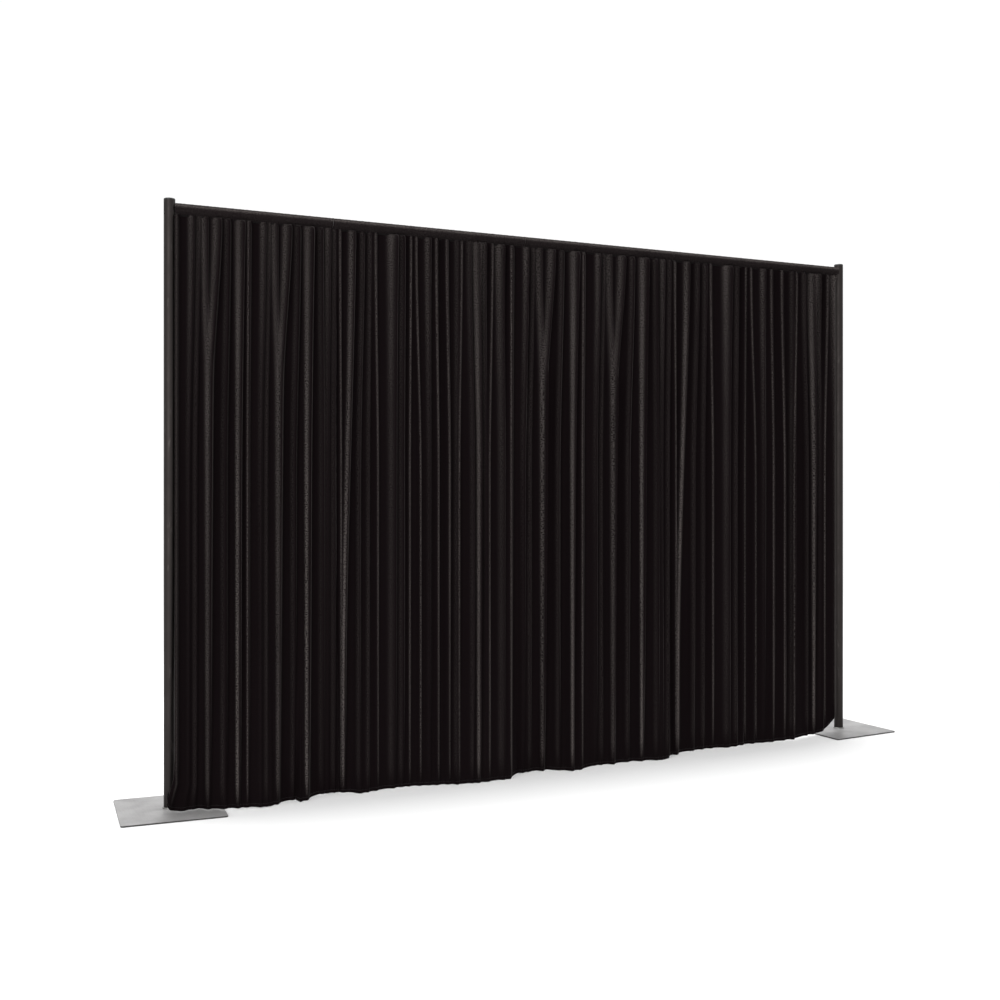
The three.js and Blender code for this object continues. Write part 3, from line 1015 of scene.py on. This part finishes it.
@dataclass(frozen=True)
class Pocket:
    """The rod pocket round the bar, closed by a seam below it.

    Attributes:
        radius: the radius of the middle of its cloth.
        steps: how many steps go round it.
        seam_drop: how far the seam is below the bar's axis.
        seam_height: how far the back layer reaches below the seam.
        seam_half: how far the seam's layers stand from the bar's plane.
        seam_spread: the same where a hook passes.
        painted_sheen: how much highlight is painted into its colour all round.
        painted_crown_highlight: how much more highlight is painted along the front of the top.
        crown_angle: how far forward of the top that is.
        crown_spread: the half width of that.
        pucker: how far the gathers push the cloth out on average.
        pucker_waves: the height and the length of each size of gather.
        pucker_reach: how far from the bar's plane they have their full height.
    """

    radius: float = 0.0175
    steps: int = 24
    seam_drop: float = 0.0195
    seam_height: float = 0.006
    seam_half: float = 0.0012
    seam_spread: float = 0.0062
    # Painted highlight: grey painted into the pocket's colour, most along the front of its top.
    painted_sheen: float = 0.08
    painted_crown_highlight: float = 0.5
    crown_angle: float = 1.08
    crown_spread: float = 0.26
    pucker: float = 0.0006
    pucker_waves: tuple[Pair, ...] = ((0.0004, 0.013), (0.0003, 0.029))
    pucker_reach: float = 0.008

    def path(self) -> list[Triple]:
        """Lays the cross-section out from the seam behind the bar to the seam before it.

        Returns:
            Points as (Y, Z) from the bar's axis, with the share of painted highlight there.
        """
        leave = math.acos(self.radius / self.seam_drop)
        path = [(self.seam_half, -self.seam_drop - self.seam_height, 0)]
        path.append((self.seam_half, -self.seam_drop, 0))
        for step in range(self.steps + 1):
            angle = leave + (2 * math.pi - 2 * leave) * step / self.steps
            crown = math.exp(-((angle - math.pi - self.crown_angle) / self.crown_spread) ** 2)
            painted_sheen = self.painted_sheen + self.painted_crown_highlight * crown
            path.append((self.radius * math.sin(angle), -self.radius * math.cos(angle), painted_sheen))
        return path + [(-self.seam_half, -self.seam_drop, self.painted_sheen)]

    def puckers(self, x: np.ndarray) -> np.ndarray:
        """Works out how far the gathers push the cloth out.

        Args:
            x: places along the bar.

        Returns:
            A distance for each place.
        """
        height = np.full_like(x, self.pucker)
        for wave, length in self.pucker_waves:
            height += wave * np.sin(2 * math.pi * x / length)
        return height


@dataclass(frozen=True)
class Hem:
    """The hem: how high it hangs, how it is rounded beside the uprights and how it is turned up.

    Attributes:
        level: its height over the floor.
        plate_level: its height over the base plates.
        plate_width: how far from the cloth's ends it keeps that, and comes down over as much again.
        rise: how much higher it is at a crest, for the height of the fold.
        calm: the share of the folds' height that is gone at the hem.
        calm_power: how late in the drop that goes.
        left_rounding: how high its left end is rounded up and over what width.
        right_rounding: the same at its right end.
        fold: how far the turned-up cloth reaches.
        turn_shares: where its rows are.
        space: how far behind the front it stands.
        most_space: the most that its rows are moved back on a steep fold.
        band_height: how far above the hem no highlight is painted.
        band_edge: over what height the painted highlight fades in there.
    """

    level: float = 0.0025
    plate_level: float = 0.009
    plate_width: float = 0.2
    rise: float = 0.04
    calm: float = 0.55
    calm_power: int = 6
    left_rounding: Pair = (0.034, 0.035)
    right_rounding: Pair = (0.078, 0.125)
    fold: float = 0.045
    turn_shares: tuple[float, ...] = (0.04, 0.2, 0.6, 1)
    space: float = 0.0026
    most_space: float = 0.008
    band_height: float = 0.028
    band_edge: float = 0.010

    def rounded(self, side: Side, away: np.ndarray) -> np.ndarray:
        """Works out how much the hem is rounded up beside an upright.

        Args:
            side: which upright.
            away: how far each place is from the cloth's end.

        Returns:
            A height for each place.
        """
        lift, width = self.left_rounding if side is Side.LEFT else self.right_rounding
        share = np.clip(1 - away / width, 0, 1)
        return lift * (1 - np.sqrt(1 - share ** 2))


@dataclass(frozen=True)
class Edges:
    """The cloth's two ends, which the photograph's camera sees edge to edge with the uprights.

    Attributes:
        width: how far an end's own depth reaches into the cloth.
        left_depth: the Y of the left end.
        right_depth: the Y of the right end.
        left_column: the left end's pixel column.
        foot_column: the same at its foot, where the cloth is spread.
        foot_start: the share of the drop where it starts to spread.
        foot_spread: the share of the drop that this takes.
        right_column: the right end's pixel column.
        pocket_overlap: how many pixels further the pocket reaches there.
        pocket_calm: the share of the drop over which that is gone.
        pull_width: the least width over which an end is pulled up to its upright.
        pull_share: the least width for the length of the pull, so that nothing is folded over.
    """

    width: float = 0.009
    left_depth: float = -0.028
    right_depth: float = -0.009
    left_column: float = 174.8
    foot_column: float = 167.2
    foot_start: float = 0.952
    foot_spread: float = 0.034
    right_column: float = 834.7
    pocket_overlap: float = 4.3
    pocket_calm: float = 0.02
    pull_width: float = 0.05
    pull_share: float = 2.4

    def depth(self, side: Side) -> float:
        """Finds the Y of one end of the cloth."""
        return self.left_depth if side is Side.LEFT else self.right_depth

    def column(self, side: Side, drop: float) -> float:
        """Finds the pixel column of one end of a row.

        Args:
            side: which end.
            drop: the row's share of the drop.

        Returns:
            The column.
        """
        if side is Side.LEFT:
            spread = smooth((drop - self.foot_start) / self.foot_spread)
            return self.left_column + (self.foot_column - self.left_column) * spread
        return self.right_column + self.pocket_overlap * (1 - smooth(drop / self.pocket_calm))

    def pulled(self, x: np.ndarray, end: float, edge: float) -> np.ndarray:
        """Moves a row's end, and the cloth near it less and less.

        Args:
            x: the row's X.
            end: the X of the end that moves.
            edge: where that end goes.

        Returns:
            The moved X.
        """
        width = max(self.pull_width, self.pull_share * abs(edge - end))
        return x + np.clip(1 - abs(x - end) / width, 0, 1) ** 2 * (edge - end)


@dataclass(frozen=True)
class Panel:
    """One velour panel, gathered on the bar by its pocket.

    Attributes:
        number: its place from the left.
        start_share: where it starts, as a share of the cloth's width on the bar.
        end_share: where it ends.
        bar: what it hangs on.
        drapery: its folds.
        pocket: its rod pocket.
        hem: its hem.
        edges: its end beside an upright.
        cut_width: its width before it is gathered.
        cut_length: its length before it is sewn.
        thickness: the cloth's thickness.
        gap: the space between two pockets.
        column_width: how far apart the mesh's columns are.
        row_count: how many rows hang down to the hem.
        row_power: how much closer the rows are under the seam.
        row_pinch: how much closer they are at the hem.
        last_shares: where the last rows above the hem and at it are.
        gather: the drop over which the gathers open into folds.
        painted_sheen_share: the part of that over which the painted highlight fades in.
        laps: how far neighbouring panels lap over each other under the seam and at the hem.
        lap_step: how far the lapped edges stand before and behind each other.
    """

    number: int
    start_share: float
    end_share: float
    bar: Crossbar = Crossbar()
    drapery: Drapery = Drapery()
    pocket: Pocket = Pocket()
    hem: Hem = Hem()
    edges: Edges = Edges()
    cut_width: float = 1.219
    cut_length: float = 2.29
    thickness: float = 0.0016
    gap: float = 0.0012
    column_width: float = 0.002
    row_count: int = 58
    row_power: float = 1.7
    row_pinch: float = 0.35
    last_shares: Triple = (0.995, 0.9985, 1)
    gather: float = 0.006
    painted_sheen_share: float = 0.5
    laps: Pair = (0.010, 0.024)
    lap_step: float = 0.003

    @property
    def name(self) -> str:
        """The panel's CAD node."""
        return f"drape_panel_{self.number}"

    @property
    def side(self) -> Side | None:
        """The upright that the panel hangs beside.

        Returns:
            The upright's side, or nothing for a panel in between.
        """
        if self.start_share == 0:
            return Side.LEFT
        return Side.RIGHT if self.end_share == 1 else None

    @property
    def left(self) -> float:
        """Where the pocket starts along the bar."""
        return self.bar.cloth_start + self.start_share * self.bar.cloth_width + self.gap / 2

    @property
    def right(self) -> float:
        """Where the pocket ends."""
        return self.bar.cloth_start + self.end_share * self.bar.cloth_width - self.gap / 2

    def away(self, top_x: np.ndarray) -> np.ndarray:
        """Finds how far columns are from the panel's end beside an upright.

        Args:
            top_x: each column's place at the pocket.

        Returns:
            A distance for each column, which is endless for a panel in between.
        """
        if self.side is None:
            return np.full_like(top_x, math.inf)
        return top_x - self.left if self.side is Side.LEFT else self.right - top_x

    def nearness(self, top_x: np.ndarray) -> np.ndarray:
        """Finds how much columns belong to the panel's end beside an upright, from 1 down to 0."""
        return np.exp(-(self.away(top_x) / self.edges.width) ** 2)

    def drops(self) -> np.ndarray:
        """Lists how far down the cloth its rows are, closest together under the seam and at the hem.

        Returns:
            Shares of the drop, from 0 to 1.
        """
        even = np.linspace(0, 1, self.row_count + 1)
        spread = self.last_shares[0] * even ** self.row_power * (1 - self.row_pinch * even * (1 - even))
        return np.concatenate([spread, self.last_shares[1:]])

    def hem_height(self, top_x: np.ndarray) -> np.ndarray:
        """Works out the height of the hem, which clears the plates and is rounded at the uprights.

        Args:
            top_x: each column's place at the pocket.

        Returns:
            A Z for each column.
        """
        height = np.full_like(top_x, self.hem.level)
        ends = np.minimum(top_x - self.bar.cloth_start, self.bar.cloth_end - top_x)
        height += (self.hem.plate_level - self.hem.level) * smooth(2 - ends / self.hem.plate_width)
        if self.side:
            height += self.hem.rounded(self.side, self.away(top_x))
        return height

    def beside(self, x: np.ndarray, y: np.ndarray, drop: float = 0) -> np.ndarray:
        """Pulls a row of cloth up to the upright beside it, seen edge to edge by the photograph's camera.

        Args:
            x: the row's X.
            y: the row's Y.
            drop: the row's share of the drop.

        Returns:
            The pulled X.
        """
        if self.side is None:
            return x
        end, inner = (0, max) if self.side is Side.LEFT else (-1, min)
        seen = self.drapery.camera.along_bar(self.edges.column(self.side, drop), y[end])
        return self.edges.pulled(x, x[end], inner(seen, self.bar.beside(self.side, y[end])))

    def seam(self, top_x: np.ndarray) -> np.ndarray:
        """Finds how far the seam's two layers stand from the bar's plane, opened where a hook passes.

        Args:
            top_x: each column's place at the pocket.

        Returns:
            A distance for each column.
        """
        opened = self.pocket.seam_spread - self.pocket.seam_half
        return self.pocket.seam_half + opened * self.nearness(top_x)

    def pocket_row(self, top_x: np.ndarray, y: float, z: float, painted_sheen: float) -> Row:
        """Lays out one row of the pocket, level from end to end, so that the outer tube can slide in.

        Args:
            top_x: each column's place at the pocket.
            y: the row's Y from the bar's axis.
            z: the row's Z from it.
            painted_sheen: how much highlight is painted into its colour.

        Returns:
            The row's points and its painted highlight share.
        """
        out = self.pocket.puckers(top_x) * min(1, abs(y) / self.pocket.pucker_reach)
        opened = (self.seam(top_x) - self.pocket.seam_half) * smooth(-z / self.pocket.radius)
        reach = math.hypot(y, z)
        row_y = y + out * y / reach + math.copysign(1, y) * opened
        row_z = self.bar.height + z + out * z / reach
        return np.stack([self.beside(top_x, row_y), row_y, row_z], 1), np.full_like(top_x, painted_sheen)

    def hanging_row(self, top_x: np.ndarray, drop: float) -> Row:
        """Lays out one row of the hanging cloth.

        Args:
            top_x: each column's place at the pocket.
            drop: the row's share of the drop.

        Returns:
            The row's points and its painted highlight share.
        """
        along = np.linspace(0, 1, len(top_x))
        top = self.bar.height - self.pocket.seam_drop
        fallen = drop * (top - self.hem.level)
        size = 1 - math.exp(-fallen / self.gather)
        lap = self.laps[0] * size + (self.laps[1] - self.laps[0]) * drop
        leftward = (1 - along) * (self.side is not Side.LEFT)
        rightward = along * (self.side is not Side.RIGHT)
        x = top_x + lap * (rightward - leftward)
        lean = self.drapery.lean(x, drop)
        x = self.drapery.forward(x, lean)
        relief = self.drapery.relief(x, drop) * (1 - self.hem.calm * drop ** self.hem.calm_power)
        if self.side:
            relief += (self.edges.depth(self.side) - relief) * self.nearness(top_x)
        y = relief * size - self.seam(top_x) * (1 - size) - lean + self.lap_step * (1 - 2 * along) * size
        x = self.beside(x, y, drop)
        hem = self.hem_height(top_x) + self.hem.rise * (self.drapery.hollow_depth - relief)
        z = top + (hem - top) * drop
        # Painted highlight: the drapery's bands, fading in under the seam and left out above the hem.
        painted_sheen = self.drapery.painted_sheen(x, y, drop) * smooth(fallen / (self.painted_sheen_share * self.gather))
        return np.stack([x, y, z], 1), painted_sheen * smooth((z - hem - self.hem.band_height) / self.hem.band_edge)

    def turned_row(self, top_x: np.ndarray, share: float) -> Row:
        """Lays out one row of the cloth that is turned up behind the hem.

        Args:
            top_x: each column's place at the pocket.
            share: where the row is on the turned-up cloth.

        Returns:
            The row's points and its painted highlight share, which is none.
        """
        drop = 1 - share * self.hem.fold / (self.bar.height - self.pocket.seam_drop)
        points = self.hanging_row(top_x, drop)[0]
        slope = np.gradient(points[:, 1]) / np.gradient(points[:, 0])
        points[:, 1] += np.minimum(self.hem.space * np.hypot(1, slope), self.hem.most_space)
        return points, np.zeros_like(top_x)

    def rows(self) -> list[Row]:
        """Lays the whole panel out, from the seam behind the bar to the top of the hem behind.

        Returns:
            The points and the painted highlight share of each row.
        """
        count = round((self.right - self.left) / self.column_width) + 1
        top_x = self.left + np.linspace(0, 1, count) * (self.right - self.left)
        pocket = [self.pocket_row(top_x, *point) for point in self.pocket.path()]
        front = [self.hanging_row(top_x, drop) for drop in self.drops()[1:]]
        return pocket + front + [self.turned_row(top_x, share) for share in self.hem.turn_shares]

    def cloth(self, rows: list[Row], finishes: list[bpy.types.Material]) -> bpy.types.Object:
        """Builds the cloth.

        Args:
            rows: the points and the painted highlight share of each row.
            finishes: the velour and its backing.

        Returns:
            The cloth, as a sheet that a modifier gives its thickness.
        """
        grid = np.stack([points for points, _ in rows])
        painted_sheens = np.concatenate([painted_sheen for _, painted_sheen in rows])
        count = len(grid[0])
        cells = np.arange((len(grid) - 1) * (count - 1))
        first = cells // (count - 1) * count + cells % (count - 1)
        faces = np.stack([first, first + count, first + count + 1, first + 1], 1)
        mesh = bpy.data.meshes.new(f"{self.name}_cloth")
        mesh.from_pydata(np.concatenate(grid).tolist(), [], faces.tolist())
        mesh.polygons.foreach_set("use_smooth", np.ones(len(faces), bool))
        layer = mesh.uv_layers.new(name="cut")
        layer.data.foreach_set("uv", self.cut_places(grid)[faces.ravel()].astype(np.float32).ravel())
        # Painted highlight: each point's share goes to the velour as an attribute.
        shares = mesh.attributes.new("painted_sheen", "FLOAT", "POINT")
        shares.data.foreach_set("value", painted_sheens.astype(np.float32))
        for finish in finishes:
            mesh.materials.append(finish)
        piece = bpy.data.objects.new(f"{self.name}_cloth", mesh)
        bpy.context.scene.collection.objects.link(piece)
        solid = piece.modifiers.new("thickness", "SOLIDIFY")
        solid.thickness = self.thickness
        solid.offset = 0
        solid.material_offset = 1
        return piece

    def cut_places(self, grid: np.ndarray) -> np.ndarray:
        """Finds where each point of the hung panel lies on the flat cut.

        Args:
            grid: the panel's points, by row and column.

        Returns:
            A place in metres for each point, row by row.
        """
        lengths = np.linalg.norm(np.diff(grid[len(grid) // 2], axis=0), axis=1)
        across = np.concatenate([[0], np.cumsum(lengths)])
        across *= self.cut_width / across[-1]
        drops = np.linalg.norm(np.diff(grid[:, len(grid[0]) // 2], axis=0), axis=1)
        down = np.concatenate([[0], np.cumsum(drops)])
        return np.stack([np.tile(across, len(grid)), np.repeat(down, len(across))], 1)

    def stitch_paths(self, rows: list[Row]) -> list[np.ndarray]:
        """Finds the seam under the bar and the line over the hem, on the cloth's front face.

        Args:
            rows: the points and the painted highlight share of each row.

        Returns:
            The points of the two rows of stitches.
        """
        last = len(self.pocket.path()) - 1
        seam = rows[last][0].copy()
        seam[:, 1] -= self.thickness / 2
        fold_share = 1 - self.hem.fold / (self.bar.height - self.hem.level)
        line = rows[last + int(np.argmin(abs(self.drops() - fold_share)))][0].copy()
        slope = np.gradient(line, axis=0)
        normal = np.stack([slope[:, 1], -slope[:, 0]], 1)
        normal /= np.linalg.norm(normal, axis=1)[:, None]
        line[:, :2] += self.thickness / 2 * normal
        return [seam, line]

    def build(self, finishes: list[bpy.types.Material], thread: bpy.types.Material) -> None:
        """Builds the cloth and its stitches, and hangs them on the panel's body.

        Args:
            finishes: the velour and its backing.
            thread: the stitches' material.
        """
        rows = self.rows()
        cloth = self.cloth(rows, finishes)
        stitches = StitchRow().sew(f"{self.name}_stitches", self.stitch_paths(rows), thread)
        for piece in (cloth, stitches):
            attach(piece, f"panel_{self.number}")
            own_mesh(piece)
        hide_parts(self.name)
        LOG.info("%s: %d points, %d stitch faces", self.name, len(cloth.data.vertices),
                 len(stitches.data.polygons))


@dataclass(frozen=True)
class Frame:
    """The rigid pieces, which keep their CAD shapes and get their finishes."""

    tube: DrawnMetal = DrawnMetal("dark_tube", (0.032, 0.028, 0.027), (0.07, 0.063, 0.06), 0.52)
    bar: DrawnMetal = DrawnMetal("bar_aluminium", (0.58, 0.585, 0.6), (0.35, 0.35, 0.36), 0.32,
                                 Grain(900, (0.01, 1, 1)))
    pin: DrawnMetal = DrawnMetal("pin_steel", (0.32, 0.32, 0.31), (0.22, 0.22, 0.215), 0.42,
                                 Grain(1500, (0.05, 0.05, 1)))
    bolt: CastMetal = CastMetal("bolt_steel", (0.5, 0.5, 0.49), (0.3, 0.3, 0.29), (0.28, 0.48))
    casting: CastMetal = CastMetal("hook_casting", (0.275, 0.28, 0.29), (0.18, 0.18, 0.185))
    plastic: MouldedPlastic = MouldedPlastic("black_plastic", (0.008, 0.008, 0.008), (0.02, 0.02, 0.02))
    plate: PlateSteel = PlateSteel()

    def finishes(self) -> dict[str, HardFinish]:
        """Names each CAD node's finish.

        Returns:
            A finish for each rigid node.
        """
        found: dict[str, HardFinish] = {
            "crossbar_outer_tube": self.bar, "crossbar_inner_tube": self.bar,
            "crossbar_mouth_bushing": self.plastic, "crossbar_slider_bushing": self.plastic,
        }
        ends: dict[str, HardFinish] = {
            "base_plate": self.plate, "base_pin": self.pin, "pin_bolt": self.bolt, "upright_tube": self.tube,
            "top_cap": self.plastic, "hook": self.casting, "hook_pin": self.bolt,
        }
        for side in Side:
            for name, finish in ends.items():
                found[f"{side.value}_{name}"] = finish
        return found

    def dress(self) -> None:
        """Gives every rigid node its material."""
        made: dict[str, bpy.types.Material] = {}
        for node, finish in self.finishes().items():
            if finish.name not in made:
                made[finish.name] = finish.material()
            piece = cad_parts[node]
            piece.data.materials.clear()
            piece.data.materials.append(made[finish.name])
            LOG.info("%s: %s", node, finish.name)


def panels() -> list[Panel]:
    """Lists the four panels from left to right."""
    spans = zip(PANEL_SHARES, PANEL_SHARES[1:])
    return [Panel(number, start, end) for number, (start, end) in enumerate(spans, 1)]


def main() -> None:
    """Builds the camera, the studio, the rigid finishes and the cloth."""
    logging.basicConfig(level=logging.INFO, format="%(name)s: %(message)s")
    PhotoCamera().make()
    Studio().make()
    Frame().dress()
    finishes = [Velour().material(), Backing().material()]
    thread = Thread().material()
    for panel in panels():
        panel.build(finishes, thread)


if __name__ == "__main__":
    main()
